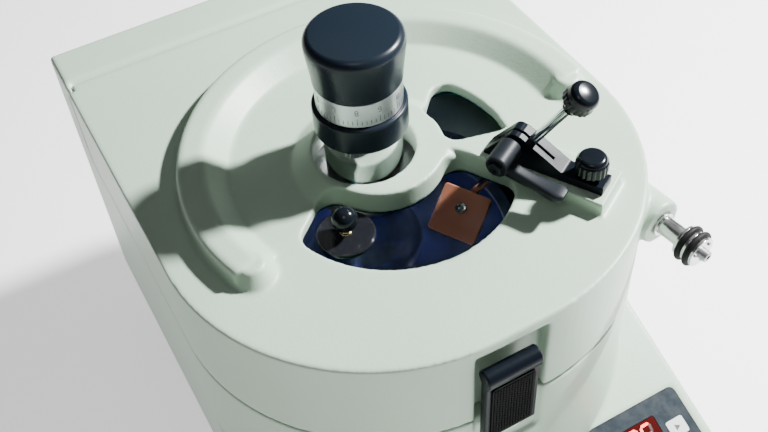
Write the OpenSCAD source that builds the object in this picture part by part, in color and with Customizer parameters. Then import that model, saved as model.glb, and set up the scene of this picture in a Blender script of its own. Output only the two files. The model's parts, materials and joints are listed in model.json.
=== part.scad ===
// Bench mortar grinder with a hinged lid, rotary pestle, adjustable scraper and sloped control panel.
// Millimetres. +X right, +Y back, +Z up; the origin is on the floor at the middle of the footprint.

/* [Housing] */
// Overall width
body_w = 310; // [280:1:340]
// Overall depth
body_d = 460; // [420:1:500]
// Height of the lid's flat top
lid_top = 310; // [290:1:330]
// Height of the joint between housing and lid
part_z = 238; // [220:1:250]
// Height of the housing's lower rim
skirt_z = 81; // [70:1:95]
// Wall thickness of the housing
wall = 8; // [5:0.5:10]
// Radius of the round front
front_r = 138; // [125:1:145]
// Slope of the control panel, in degrees
panel_tilt = 20.4; // [10:0.1:35]

/* [Lid] */
// Wall thickness of the lid
lid_wall = 6; // [4:0.5:8]
// Height of the C-shaped rib over the lid
rib_h = 12; // [6:0.5:16]
// Radius of the rib's crest
rib_r = 128.5; // [120:0.5:132]
// Radius of the hole for the pestle
tower_hole_r = 32.5; // [30:0.5:34]
// Radius of the raised ring round that hole
tower_ring_r = 41.5; // [39:0.5:44]
// Height of the ring and the scraper's platform over the lid
raise_h = 9; // [6:0.5:12]
// Thickness of the window glass
glass_t = 4; // [3:0.5:6]

/* [Pestle] */
// Pestle axis, left of the middle
pestle_x = -11.5; // [-16:0.5:-8]
// Pestle axis, behind the middle
pestle_y = 23; // [18:0.5:28]
// Largest radius of the pestle
bell_r = 35; // [34.5:0.5:38]
// Radius of the chrome sleeve
sleeve_r = 24.7; // [22:0.1:27]
// Largest radius of the pressure knob
knob_r = 29.8; // [27:0.1:32]
// Height of the top of the pressure knob
knob_top = 410; // [400:1:420]

/* [Mortar] */
// Mortar axis, behind the middle
mortar_y = 14; // [10:1:18]
// Radius of the mortar's rim
mortar_r = 86; // [80:1:90]
// Height of the mortar's rim
mortar_rim = 236; // [230:1:240]

/* [Scraper] */
// Diameter of the scraper rod
rod_d = 6; // [5:0.5:8]
// Slope of the scraper rod over the lid, in degrees
rod_slope = 59; // [50:1:65]

/* [Hidden] */
$fn = 64;
hw = body_w / 2;
hd = body_d / 2;
front_y = -1;
front_x = hw - front_r;
hinge_y = 188;
hinge_z = lid_top - 4;
glass_z = lid_top - 8;
panel_k = tan(panel_tilt);
panel_y0 = -53;
panel_z0 = 145;
motor_y = 128;
belt_z = 128;
adj_x = 121;
adj_y = -92;
adj_z = 290;
adj_a = -81;
rod_p = [68, -44.6, 338.5];
ring_x = -3.5;
ring_y = 18;
plug_x = -49.6;
plug_y = -23.4;
display_x = 103.5;
display_y = -148;
latch_x = -10;
recess_x = -7;
latch_z = 284;
latch_y = -142;

// Plan outline of the housing and lid: straight sides and a round front
module plan(inset, back) {
  for (s = [-1, 1])
    translate([s * front_x, front_y])
      circle(front_r - inset, $fn = 160);
  translate([-front_x, front_y - front_r + inset])
    square([2 * front_x, front_r - inset + back - front_y]);
  translate([inset - hw, front_y])
    square([body_w - 2 * inset, back - front_y]);
}

// Frame on the control panel's face, x across, y up the slope
module on_panel(x, y) {
  translate([x, y, panel_z0 + panel_k * (y - panel_y0)])
    rotate([panel_tilt, 0, 0])
      children();
}

// Frame along the side adjuster, z outwards
module on_adjuster() {
  translate([adj_x, adj_y, adj_z])
    rotate([0, 0, adj_a])
      rotate([0, 90, 0])
        children();
}

// Frame along the scraper rod, z up the rod
module on_rod() {
  translate(rod_p)
    rotate([0, 0, -60])
      rotate([0, 90 - rod_slope, 0])
        children();
}

// Side profile of the control console, as a prism across the width
module console(side, top, low, back) {
  translate([-hw + side, 0, 0])
    rotate([90, 0, 90])
      linear_extrude(body_w - 2 * side)
        polygon([[side - hd, low],
          [side - hd, panel_z0 + panel_k * (side - hd - panel_y0) - top],
          [back, panel_z0 + panel_k * (back - panel_y0) - top],
          [back, low]]);
}

// Housing shell with the deck under the lid, the rear strip and the console
module housing() {
  color([0.8, 0.84, 0.8]) difference() {
    union() {
      translate([0, 0, skirt_z])
        linear_extrude(part_z - 0.5 - skirt_z)
          plan(0, hd);
      console(0, 0, 60, 0);
      translate([-hw, hinge_y + 4.5, part_z - 1])
        cube([body_w, hd - hinge_y - 4.5, lid_top - part_z + 1]);
      hinge_ears();
    }
    translate([0, 0, skirt_z - 1])
      linear_extrude(part_z - 8.5 - skirt_z + 1)
        plan(wall, hd - wall);
    console(wall, wall / cos(panel_tilt), 50, 1);
    translate([wall - hw, hinge_y + 9, part_z - 9])
      cube([body_w - 2 * wall, hd - hinge_y - 9 - wall, lid_top - part_z + 4]);
    translate([0, mortar_y, part_z - 20])
      cylinder(30, r = 97.5, $fn = 128);
    housing_cuts();
    translate([-hw - 1, hinge_y + 4.5, lid_top])
      rotate([45, 0, 0])
        translate([3, -2.6, -2.6])
          cube([body_w - 4, 5.2, 5.2]);
  }
}

// Fixed hinge ears reaching from the strip to the pin
module hinge_ears() {
  for (s = [-1, 1])
    difference() {
      union() {
        translate([s * (hw - 1.75) - 1.75, hinge_y, hinge_z])
          rotate([0, 90, 0])
            cylinder(3.5, r = 3.9);
        translate([s * (hw - 1.75) - 1.75, hinge_y, hinge_z - 3.9])
          cube([3.5, 5, 7.8]);
      }
      translate([s * (hw - 1.75) - 3, hinge_y, hinge_z])
        rotate([0, 90, 0])
          cylinder(6, r = 2);
    }
}

// Openings in the housing for the display, keys, inlet, rocker and latch
module housing_cuts() {
  on_panel(display_x, display_y)
    translate([-18, -10.5, -12])
      cube([36, 21, 20]);
  for (k = [[133.2, -152.5], [133.2, -176], [108, -176], [84, -176]])
    on_panel(k[0], k[1])
      translate([-8, -7, -12])
        cube([16, 14, 20]);
  on_panel(47, -208)
    translate([0, 0, -1.2])
      cube([100, 86, 5]);
  translate([-120, hd - wall - 1, 100])
    cube([28, wall + 2, 24]);
  translate([-82, hd - wall - 1, 101])
    cube([16, wall + 2, 22]);
  translate([recess_x - 24, -front_r - 3, part_z - 44])
    cube([48, 5.5, 46]);
  translate([0, hd - 1, 150])
    for (i = [-4:4])
      translate([i * 9 - 2, -wall - 1, 0])
        cube([4, wall + 4, 36]);
}

// Tray that closes the housing from below
module base_pan() {
  color([0.2, 0.21, 0.22]) difference() {
    translate([-hw + wall + 0.2, -hd + wall + 0.2, 20])
      cube([body_w - 2 * wall - 0.4, body_d - 2 * wall - 0.4, 75]);
    translate([-hw + wall + 3.2, -hd + wall + 3.2, 23])
      cube([body_w - 2 * wall - 6.4, body_d - 2 * wall - 6.4, 80]);
    translate([-hw, -hd, 70])
      cube([body_w, 182, 40]);
  }
}

module foot(x, y) {
  color([0.08, 0.08, 0.09])
    translate([x, y, 0])
      cylinder(20, r1 = 14, r2 = 16);
}

module foot_front_left() {
  foot(-120, -195);
}

module foot_front_right() {
  foot(120, -195);
}

module foot_rear_left() {
  foot(-120, 195);
}

module foot_rear_right() {
  foot(120, 195);
}

// Stainless well round the mortar
module chamber_liner() {
  color([0.75, 0.77, 0.78])
    translate([0, mortar_y, 0])
      rotate_extrude($fn = 128)
        polygon([[24, 160], [97, 160], [97, part_z - 0.5], [104, part_z - 0.5], [104, part_z + 1],
          [95, part_z + 1], [95, 162], [24, 162]]);
}

// Bearing housing that carries the mortar's shaft
module bearing_block() {
  color([0.55, 0.56, 0.57]) difference() {
    union() {
      translate([0, mortar_y, 138])
        cylinder(20, r = 23);
      translate([-60, mortar_y - 30, 138])
        cube([120, 60, 8]);
      for (s = [-1, 1])
        translate([s * 54 - 6, mortar_y - 30, 23])
          cube([12, 60, 115]);
    }
    translate([0, mortar_y, 130])
      cylinder(40, r = 10.05);
  }
}

module drive_shaft() {
  color([0.7, 0.71, 0.72])
    translate([0, mortar_y, 106])
      cylinder(57, r = 10);
}

module drive_pulley() {
  color([0.35, 0.36, 0.37])
    translate([0, mortar_y, 0])
      rotate_extrude()
        polygon([[10, belt_z - 9], [43, belt_z - 9], [43, belt_z - 7], [40, belt_z - 7],
          [40, belt_z + 7], [43, belt_z + 7], [43, belt_z + 9], [10, belt_z + 9]]);
}

module motor_pulley() {
  color([0.35, 0.36, 0.37])
    translate([0, motor_y, 0])
      rotate_extrude()
        polygon([[0, belt_z - 12], [16, belt_z - 12], [16, belt_z - 7], [13.33, belt_z - 7],
          [13.33, belt_z + 7], [16, belt_z + 7], [16, belt_z + 9], [0, belt_z + 9]]);
}

// Flat outline round both pulleys, grown by g
module belt_outline(g) {
  translate([0, mortar_y])
    circle(40 + g);
  translate([0, motor_y])
    circle(13.33 + g);
  run = motor_y - mortar_y;
  a = acos((40 - 13.33) / run);
  polygon([for (p = [[0, a], [1, a], [1, 180 - a], [0, 180 - a]])
    [(p[0] == 0 ? 40 + g : 13.33 + g) * cos(p[1] < 90 ? 90 - a : 90 + a),
      (p[0] == 0 ? mortar_y : motor_y) + (p[0] == 0 ? 40 + g : 13.33 + g) * sin(90 - a)]]);
}

module drive_belt() {
  color([0.06, 0.06, 0.07])
    translate([0, 0, belt_z - 6])
      linear_extrude(12)
        difference() {
          belt_outline(2.4);
          belt_outline(0.4);
        }
}

module motor() {
  color([0.3, 0.31, 0.33])
    translate([0, motor_y, 0]) {
      translate([0, 0, 23])
        cylinder(83, r = 42);
      translate([42, -14, 40])
        cube([14, 28, 44]);
    }
}

module motor_plate() {
  color([0.6, 0.61, 0.62])
    translate([0, motor_y, 106])
      difference() {
        translate([-52, -48, 0])
          cube([104, 96, 4]);
        cylinder(20, r = 20, center = true);
      }
}

// Mortar seat on the shaft
module mortar_holder() {
  color([0.62, 0.63, 0.65])
    translate([0, mortar_y, 0]) {
      translate([0, 0, 163])
        cylinder(7, r = 20);
      translate([0, 0, 170])
        cylinder(5.5, r = 60);
    }
}

module mortar() {
  color([0.8, 0.82, 0.85])
    translate([0, mortar_y, 0])
      rotate_extrude($fn = 128)
        polygon([[0, 175.5], [60, 175.5], [78, 196], [84, 214], [mortar_r, 222], [mortar_r, mortar_rim],
          [76, mortar_rim], [75, 215], [69, 200], [60, 188], [50, 184], [0, 184]]);
}

module control_board() {
  color([0.1, 0.3, 0.2])
    on_panel(0, -213)
      translate([70, 0, -16.4])
        cube([72, 80, 1.6]);
}

module inlet_socket() {
  color([0.05, 0.05, 0.06])
    difference() {
      translate([-119.8, hd - 24, 100.2])
        cube([27.6, 23.6, 23.6]);
      translate([-117, hd - 18, 103.5])
        cube([22, 24, 17]);
    }
}

module power_rocker() {
  color([0.05, 0.05, 0.06])
    difference() {
      translate([-81.4, hd - 8, 112])
        rotate([0, 90, 0])
          cylinder(14.8, r = 10.3);
      translate([-90, hd - 22, 90])
        cube([40, 14, 40]);
      translate([-90, hd - 0.6, 90])
        cube([40, 20, 40]);
    }
}

// Membrane keypad with openings for the display and keys
module keypad() {
  color([0.42, 0.45, 0.45]) difference() {
    on_panel(47.3, -207.7)
      translate([0, 0, -1.2])
        cube([99.4, 85.4, 1.5]);
    on_panel(display_x, display_y)
      translate([-18, -10.5, -4])
        cube([36, 21, 8]);
    for (k = [[133.2, -152.5], [133.2, -176], [108, -176], [84, -176]])
      on_panel(k[0], k[1])
        translate([-7.6, -6.6, -4])
          cube([15.2, 13.2, 8]);
  }
}

module display_window() {
  color([0.1, 0.01, 0.01, 0.9])
    on_panel(display_x, display_y)
      translate([-17.8, -10.3, -1.2])
        cube([35.6, 20.6, 1.2]);
}

module display_digits() {
  color([0.9, 0.1, 0.05])
    on_panel(display_x, display_y)
      translate([-15, -8, -8])
        cube([30, 16, 6.5]);
}

module key(k) {
  color([0.82, 0.84, 0.84])
    on_panel(k[0], k[1])
      translate([-7.2, -6.2, -6])
        cube([14.4, 12.4, 6.6]);
}

module key_start() {
  key([133.2, -152.5]);
}

module key_stop() {
  key([133.2, -176]);
}

module key_up() {
  key([108, -176]);
}

module key_down() {
  key([84, -176]);
}

// Steel plate in the housing's recess that the latch holds on to
module latch_plate() {
  color([0.7, 0.71, 0.72])
    translate([latch_x - 12, latch_y + 4, 206])
      cube([24, 1.5, 20]);
}

module hinge_pin() {
  color([0.7, 0.71, 0.72])
    translate([-hw + 0.5, hinge_y, hinge_z])
      rotate([0, 90, 0])
        cylinder(body_w - 1, r = 2);
}

// Front window outline, grown by m
module front_window(m) {
  offset(r = m + 12)
    offset(delta = -12)
      difference() {
        translate([-3.5, 1])
          circle(76.8, $fn = 128);
        translate([ring_x, ring_y])
          circle(tower_ring_r, $fn = 96);
        translate([-100, 5])
          square([200, 100]);
        translate([-63, -4])
          rotate(41)
            translate([-60, 0])
              square([120, 60]);
        translate([40, -18])
          rotate(-60)
            translate([-60, 0])
              square([160, 120]);
      }
}

// Rear window outline, grown by m
module rear_window(m) {
  offset(r = m + 9)
    offset(delta = -9)
      difference() {
        translate([0, 14])
          circle(79.5, $fn = 128);
        translate([ring_x, ring_y])
          circle(tower_ring_r, $fn = 96);
        translate([40, -3])
          rotate(-14)
            translate([-120, -100])
              square([220, 100]);
        translate([37.5, 34])
          rotate(48)
            translate([-160, 0])
              square([240, 120]);
        translate([0, 55])
          square([120, 60]);
      }
}

// Raised C-shaped rib
module rib() {
  translate([7, 14, 0]) {
    rotate([0, 0, -2.7])
      rotate_extrude(angle = 201.9, $fn = 128)
        polygon([[rib_r - 23, lid_top - 1], [rib_r - 9, lid_top + rib_h - 1.2],
          [rib_r - 6, lid_top + rib_h], [rib_r + 6, lid_top + rib_h],
          [rib_r + 9, lid_top + rib_h - 1.5], [rib_r + 11, lid_top - 1]]);
    for (a = [-2.7, 199.2])
      rotate([0, 0, a])
        translate([rib_r - 3, 0, lid_top - 1])
          cylinder(rib_h, r1 = 15, r2 = 8);
  }
}

// Raised platform for the scraper's clamp
module platform() {
  translate([0, 0, lid_top - 4])
    linear_extrude(raise_h + 4)
      polygon([[83, -95.4], [110.4, -79.3], [71, -5], [58, 2], [34, 20], [30, -2], [40, -16]]);
}

// Raised ring round the pestle, falling softly to the lid
module tower_ring() {
  translate([ring_x, ring_y, glass_z])
    cylinder(10, r = tower_ring_r + 2, $fn = 96);
  translate([ring_x, ring_y, lid_top - 1])
    cylinder(raise_h + 1, r1 = tower_ring_r + 16, r2 = tower_ring_r + 1, $fn = 96);
}

// Lid with its round front, rib, tower ring, window wells and side boss
module lid_shell() {
  color([0.8, 0.84, 0.8]) difference() {
    union() {
      difference() {
        translate([0, 0, part_z + 0.3])
          linear_extrude(lid_top - part_z - 0.3)
            plan(0, hinge_y);
        translate([0, 0, part_z - 1])
          linear_extrude(glass_z - part_z + 1)
            plan(lid_wall, hinge_y - lid_wall);
      }
      translate([-hw, hinge_y, hinge_z])
        rotate([0, 90, 0])
          cylinder(body_w, r = 4);
      rib();
      tower_ring();
      platform();
      on_adjuster()
        translate([0, 0, -34])
          cylinder(48, r = 15);
      translate([recess_x - 28, -front_r + 1, part_z + 0.3])
        cube([56, 16, lid_top - part_z - 2]);
    }
    translate([0, 0, glass_z - 1])
      linear_extrude(30)
        front_window(0);
    translate([0, 0, glass_z - 1])
      linear_extrude(30)
        rear_window(0);
    translate([pestle_x, pestle_y, glass_z - 2])
      cylinder(40, r = tower_hole_r, $fn = 96);
    lid_cuts();
  }
}

// Cut-outs for the hinge, latch, scraper rod and adjuster
module lid_cuts() {
  translate([-hw - 1, hinge_y, hinge_z])
    rotate([0, 90, 0])
      cylinder(body_w + 2, r = 2.05);
  for (s = [-1, 1])
    translate([s * (hw - 1.5) - 2.5, hinge_y - 4.5, hinge_z - 4.4])
      cube([5, 10, 12]);
  translate([recess_x - 24, -front_r - 3, part_z - 1])
    cube([48, 12, glass_z - part_z + 0.5]);
  on_rod()
    translate([0, 0, -60])
      cylinder(60, r = rod_d / 2 + 1.2);
  on_adjuster()
    translate([0, 0, -50])
      cylinder(80, r = 6.25);
}

// A pane under the lid, clear of the pestle's sleeve
module pane() {
  translate([0, 0, glass_z - glass_t])
    linear_extrude(glass_t - 0.05)
      difference() {
        children();
        translate([pestle_x, pestle_y])
          circle(tower_hole_r, $fn = 96);
      }
}

module window_front() {
  color([0.75, 0.9, 0.9, 0.35]) difference() {
    pane()
      front_window(3);
    translate([plug_x, plug_y, 280])
      cylinder(40, r = 15);
  }
}

module window_rear() {
  color([0.75, 0.9, 0.9, 0.35])
    pane()
      rear_window(3);
}

// Clamp block on the platform, slit along its top
module scraper_block() {
  color([0.06, 0.065, 0.075]) difference() {
    translate([64, -38, 0])
      rotate([0, 0, -60])
        translate([0, 8, 0])
          rotate([90, 0, 0])
            linear_extrude(13.5)
              polygon([[-22, 319], [-22, 321], [-8, 339.5], [-4, 342.5], [0, 343], [29.6, 325],
                [56, 325], [56, 319]]);
    on_rod()
      translate([0, 0, -60])
        cylinder(100, r = rod_d / 2 + 0.05);
    translate([64, -38, 0])
      rotate([0, 0, -60])
        translate([-24, -0.6, 322])
          cube([46, 1.2, 30]);
  }
}

module latch_lever() {
  color([0.05, 0.055, 0.06]) difference() {
    union() {
      translate([latch_x - 18, latch_y - 3, part_z - 16])
        cube([36, 6, latch_z - part_z + 16]);
      translate([latch_x - 18, latch_y, latch_z])
        rotate([0, 90, 0])
          cylinder(36, r = 6);
    }
    translate([latch_x - 20, latch_y + 3.1, part_z - 30])
      cube([40, 10, latch_z - part_z + 22]);
  }
}

module latch_pad() {
  color([0.07, 0.075, 0.08])
    translate([latch_x - 14.5, latch_y - 5, part_z - 13])
      cube([29, 2, latch_z - part_z + 8]);
}

module plug_disc() {
  color([0.1, 0.11, 0.13, 0.7])
    translate([plug_x, plug_y, 0]) {
      translate([0, 0, glass_z + 0.3])
        cylinder(3, r = 18);
      translate([0, 0, glass_z - glass_t])
        cylinder(glass_t + 0.4, r = 14.5);
    }
}

module plug_stem() {
  color([0.7, 0.6, 0.35])
    translate([plug_x, plug_y, glass_z + 3.3])
      cylinder(7, r = 2.5);
}

module plug_ball() {
  color([0.03, 0.03, 0.03])
    translate([plug_x, plug_y, glass_z + 15]) difference() {
      sphere(8);
      translate([0, 0, -14.7])
        cylinder(10, r = 2.5);
    }
}

// Sliding carriage under the tower ring
module pestle_carriage() {
  color([0.6, 0.62, 0.63])
    translate([pestle_x, pestle_y, glass_z - 8.5]) difference() {
      cylinder(3.5, r = 38, $fn = 96);
      translate([0, 0, -1])
        cylinder(10, r = 14.3);
    }
}

module guide_sleeve() {
  color([0.8, 0.82, 0.84])
    translate([pestle_x, pestle_y, 0])
      rotate_extrude($fn = 96)
        polygon([[14.05, glass_z - 5], [sleeve_r, glass_z - 5], [sleeve_r, 338.5], [18, 338.5],
          [18, 393], [14.05, 393]]);
}

module lock_collar() {
  color([0.05, 0.055, 0.06])
    translate([pestle_x, pestle_y, 0])
      rotate_extrude($fn = 96)
        polygon([[18.05, 338.9], [27, 338.9], [29.2, 341], [29.2, 357.5], [28.2, 358.6], [18.05, 358.6]]);
}

module scale_ring() {
  color([0.72, 0.75, 0.77])
    translate([pestle_x, pestle_y, 359])
      difference() {
        cylinder(17, r = 26.5, $fn = 96);
        translate([0, 0, -1])
          cylinder(20, r = 18, $fn = 96);
      }
}

module pressure_knob() {
  color([0.03, 0.045, 0.06])
    translate([pestle_x, pestle_y, 0])
      rotate_extrude($fn = 96)
        polygon([[18.05, 376.4], [27, 376.4], [knob_r, knob_top - 5], [knob_r - 1.2, knob_top - 1.6],
          [knob_r - 4, knob_top], [0, knob_top], [0, knob_top - 7], [18.05, knob_top - 7]]);
}

module pestle_quill() {
  color([0.7, 0.71, 0.73])
    translate([pestle_x, pestle_y, 293]) difference() {
      cylinder(104, r = 14);
      translate([0, 0, -1])
        cylinder(110, r = 9.05);
    }
}

module pestle_shaft() {
  color([0.75, 0.76, 0.78])
    translate([pestle_x, pestle_y, 262])
      cylinder(134, r = 9);
}

// Bulb-shaped pestle on its shaft
module pestle_bell() {
  color([0.25, 0.3, 0.42])
    translate([pestle_x, pestle_y, 0])
      rotate_extrude($fn = 96)
        polygon([[0, 184.6], [10, 186], [17, 191], [23, 199], [29, 208], [33, 218], [bell_r, 228],
          [34, 236], [30, 244], [26.5, 252], [25, 262], [25, 286], [22, 289], [9, 289], [9, 262],
          [0, 262]]);
}

module scraper_rod() {
  color([0.8, 0.82, 0.84])
    on_rod()
      translate([0, 0, -86])
        cylinder(130, r = rod_d / 2);
}

module rod_knob() {
  color([0.04, 0.045, 0.05])
    on_rod()
      difference() {
        union() {
          translate([0, 0, 40])
            cylinder(7, r1 = 5, r2 = 9.2);
          translate([0, 0, 47])
            cylinder(7, r = 9.2);
          translate([0, 0, 54])
            cylinder(5, r1 = 9.2, r2 = 4);
          for (a = [0:30:330])
            rotate([0, 0, a])
              translate([9, 0, 48])
                cylinder(5, r = 0.9);
        }
        translate([0, 0, 30])
          cylinder(14, r = rod_d / 2);
      }
}

// Frame of the scraper blade: x along its edge, y under it, z up its slope
module on_blade() {
  translate([35.6, -16.6, 270.4])
    rotate([0, 0, -60])
      rotate([-53, 0, 0])
        children();
}

// Axis of the blade's screw, z out of the blade
module on_blade_screw() {
  on_blade()
    rotate([90, 0, 0])
      children();
}

module scraper_holder() {
  color([0.05, 0.055, 0.06]) difference() {
    on_blade()
      translate([-9, 4, -5])
        cube([18, 11, 17]);
    on_rod()
      translate([0, 0, -86])
        cylinder(130, r = rod_d / 2);
    on_blade_screw()
      translate([0, 0, -9])
        cylinder(9, r = 2);
  }
}

module scraper_blade() {
  color([0.55, 0.3, 0.2]) difference() {
    on_blade()
      translate([-17, 0, -20])
        cube([34, 4, 32.5]);
    on_blade_screw()
      translate([0, 0, -9])
        cylinder(12, r = 2);
    on_rod()
      translate([0, 0, -86])
        cylinder(130, r = rod_d / 2 + 0.2);
  }
}

module blade_screw() {
  color([0.7, 0.71, 0.72])
    on_blade_screw() {
      translate([0, 0, -9])
        cylinder(9, r = 2);
      cylinder(2, r = 4);
    }
}

// Clamp lever hub and arm
module clamp_lever() {
  color([0.1, 0.11, 0.12]) {
    translate([62, -36, 335])
      rotate([0, 0, 210])
        rotate([0, 90, 0]) {
          translate([0, 0, 7])
            cylinder(20, r = 7.6);
          translate([0, 0, 27])
            cylinder(3, r1 = 7.6, r2 = 5);
        }
    translate([62, -36, 335])
      rotate([0, 0, 210])
        translate([21.5, 0, 0])
          rotate([0, 11, 90])
            translate([0, -5, -4])
              cube([43, 10, 7]);
  }
}

module thumb_knob() {
  color([0.04, 0.045, 0.05])
    translate([88, -76, 325.3]) {
      cylinder(4, r = 5);
      translate([0, 0, 4])
        cylinder(9, r = 9.6);
      for (a = [0:24:336])
        rotate([0, 0, a])
          translate([9.4, 0, 5])
            cylinder(6, r = 0.9);
      translate([0, 0, 13])
        cylinder(3, r1 = 9.6, r2 = 6);
    }
}

module adjuster_shaft() {
  color([0.68, 0.69, 0.7]) on_adjuster() difference() {
    union() {
      translate([0, 0, -34])
        cylinder(70, r = 6.2);
      translate([0, 0, 31])
        cylinder(2, r = 10);
      translate([0, 0, 33])
        cylinder(12, r = 8);
      translate([0, 0, 37])
        cylinder(2, r = 10);
      translate([0, 0, 43])
        cylinder(2, r = 10);
      translate([0, 0, 14.4])
        cylinder(1.5, r = 8);
    }
    translate([0, 0, 41])
      cylinder(10, r = 3);
  }
}

module adjuster_rings() {
  color([0.04, 0.04, 0.05])
    on_adjuster()
      for (z = [35, 41])
        translate([0, 0, z])
          rotate_extrude()
            translate([10.2, 0])
              circle(1.9, $fn = 24);
}

module adjuster_screw() {
  color([0.5, 0.5, 0.52]) on_adjuster() difference() {
    union() {
      translate([0, 0, 41])
        cylinder(4, r = 3);
      translate([0, 0, 45])
        cylinder(5, r = 3.6);
    }
    translate([0, 0, 47.5])
      cylinder(10, r = 1.6, $fn = 6);
  }
}

housing();
base_pan();
foot_front_left();
foot_front_right();
foot_rear_left();
foot_rear_right();
chamber_liner();
bearing_block();
motor();
motor_plate();
drive_belt();
motor_pulley();
drive_shaft();
drive_pulley();
mortar_holder();
mortar();
control_board();
inlet_socket();
power_rocker();
keypad();
display_window();
display_digits();
key_start();
key_stop();
key_up();
key_down();
latch_plate();
hinge_pin();
lid_shell();
window_front();
window_rear();
scraper_block();
latch_lever();
latch_pad();
plug_disc();
plug_stem();
plug_ball();
pestle_carriage();
guide_sleeve();
scale_ring();
lock_collar();
pressure_knob();
pestle_quill();
pestle_shaft();
pestle_bell();
scraper_rod();
rod_knob();
scraper_holder();
scraper_blade();
blade_screw();
clamp_lever();
thumb_knob();
adjuster_shaft();
adjuster_rings();
adjuster_screw();
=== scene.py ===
"""Bench mortar grinder: finished pieces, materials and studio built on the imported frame."""
import json
import math

import bmesh
import bpy
from bpy.props import FloatProperty, FloatVectorProperty, IntProperty, PointerProperty
from mathutils import Matrix, Vector


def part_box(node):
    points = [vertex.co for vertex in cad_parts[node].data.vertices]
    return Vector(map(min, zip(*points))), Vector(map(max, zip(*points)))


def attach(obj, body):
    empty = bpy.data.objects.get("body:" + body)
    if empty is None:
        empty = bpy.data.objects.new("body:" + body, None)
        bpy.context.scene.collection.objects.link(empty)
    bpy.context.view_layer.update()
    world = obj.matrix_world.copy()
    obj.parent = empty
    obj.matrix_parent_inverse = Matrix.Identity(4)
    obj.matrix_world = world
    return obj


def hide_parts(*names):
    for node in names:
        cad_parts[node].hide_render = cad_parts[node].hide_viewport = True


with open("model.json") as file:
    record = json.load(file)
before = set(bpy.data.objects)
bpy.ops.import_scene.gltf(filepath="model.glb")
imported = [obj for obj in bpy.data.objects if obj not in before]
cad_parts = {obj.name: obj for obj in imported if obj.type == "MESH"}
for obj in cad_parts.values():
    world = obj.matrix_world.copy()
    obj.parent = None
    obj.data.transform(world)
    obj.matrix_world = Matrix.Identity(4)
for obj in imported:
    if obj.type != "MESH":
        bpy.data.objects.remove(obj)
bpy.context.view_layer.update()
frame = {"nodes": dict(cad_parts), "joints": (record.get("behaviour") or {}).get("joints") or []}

bl_info = {
    "name": "Bench mortar grinder",
    "version": (1, 0, 0),
    "blender": (4, 5, 0),
    "location": "3D View > Sidebar > Grinder",
    "description": "Builds the looks of a bench mortar grinder round its frame",
    "category": "Object",
}

MM = 0.001
UP = Vector((0, 0, 1))
MATERIALS = {}
GROUPS = {}


# ---------------------------------------------------------------- places taken from the frame

def joint(name):
    """The joint of that name in the frame."""
    return next(j for j in frame["joints"] if j["name"] == name)


def middle(node):
    """The middle of a node's box, in millimetres."""
    low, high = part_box(node)
    return (Vector(low) + Vector(high)) / 2 / MM


def high_z(node):
    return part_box(node)[1][2] / MM


def along(point, axis, side=UP):
    """A frame at point whose z runs along axis, in millimetres."""
    z = Vector(axis).normalized()
    x = side.cross(z)
    if x.length < 1e-4:
        x = Vector((1, 0, 0))
    x.normalize()
    y = z.cross(x)
    turn = Matrix((x, y, z)).transposed().to_4x4()
    return Matrix.Translation(Vector(point)) @ turn


def at(x, y, z):
    """A shift, in millimetres."""
    return Matrix.Translation(Vector((x, y, z)))


def spin(degrees, axis):
    """A turn about a named axis."""
    return Matrix.Rotation(math.radians(degrees), 4, axis)


TOWER = middle("scale_ring")
TOWER.z = 0
GLASS_Z = high_z("window_front")
ROD_AXIS = Vector(joint("scraper_slide")["axis"])
ROD_TAIL = 86
ROD_HEAD = 44
ROD = along(middle("scraper_rod") + ROD_AXIS * (ROD_TAIL - ROD_HEAD) / 2, ROD_AXIS)
ADJUSTER_BASE = (121, -92, 290)
ADJUSTER = along(ADJUSTER_BASE, joint("adjuster_turn")["axis"])
PLUG = middle("plug_stem")

# The sloped control panel: x and y of its origin, and the upper end of the slope
PANEL_TILT = math.radians(20.4)
PANEL_X = 100
PANEL_Y = -152
PANEL_TOP_Y = -53
PANEL_TOP_Z = 145
PANEL_Z = PANEL_TOP_Z + math.tan(PANEL_TILT) * (PANEL_Y - PANEL_TOP_Y)
PANEL = at(PANEL_X, PANEL_Y, PANEL_Z) @ Matrix.Rotation(PANEL_TILT, 4, "X")

# Places and angles of the fittings on the lid, in millimetres and degrees
SCRAPER_TURN = -60
BLOCK_SPOT = (64, -38, 0)
LEVER_HUB = (62, -36, 335)
LEVER_TURN = 210
LEVER_DROOP = 11
THUMB_Z = 325.3
BLADE_FACE = (35.6, -16.6, 270.4)
BLADE_TILT = 37
LATCH_Y = -142
LATCH_Z = 284
SCALE_R = 26.48


# ---------------------------------------------------------------- mesh makers

def lathe(bm, profile, place=None, steps=96, wave=None):
    """Turns a closed profile of (radius, height) round z.

    wave(angle, radius, height) adds to the radius.
    """
    place = place or Matrix.Identity(4)
    rings = []
    for radius, height in profile:
        if radius < 1e-6:
            rings.append([bm.verts.new(place @ Vector((0, 0, height)) * MM)])
            continue
        ring = []
        for i in range(steps):
            turn = 2 * math.pi * i / steps
            wide = radius + (wave(turn, radius, height) if wave else 0)
            spot = Vector((wide * math.cos(turn), wide * math.sin(turn), height))
            ring.append(bm.verts.new((place @ spot) * MM))
        rings.append(ring)
    for a, b in zip(rings, rings[1:] + rings[:1]):
        if len(a) == 1 and len(b) == 1:
            continue
        for i in range(steps):
            k = (i + 1) % steps
            if len(a) == 1:
                bm.faces.new((a[0], b[k], b[i]))
            elif len(b) == 1:
                bm.faces.new((a[i], a[k], b[0]))
            else:
                bm.faces.new((a[i], a[k], b[k], b[i]))
    return bm


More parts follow.
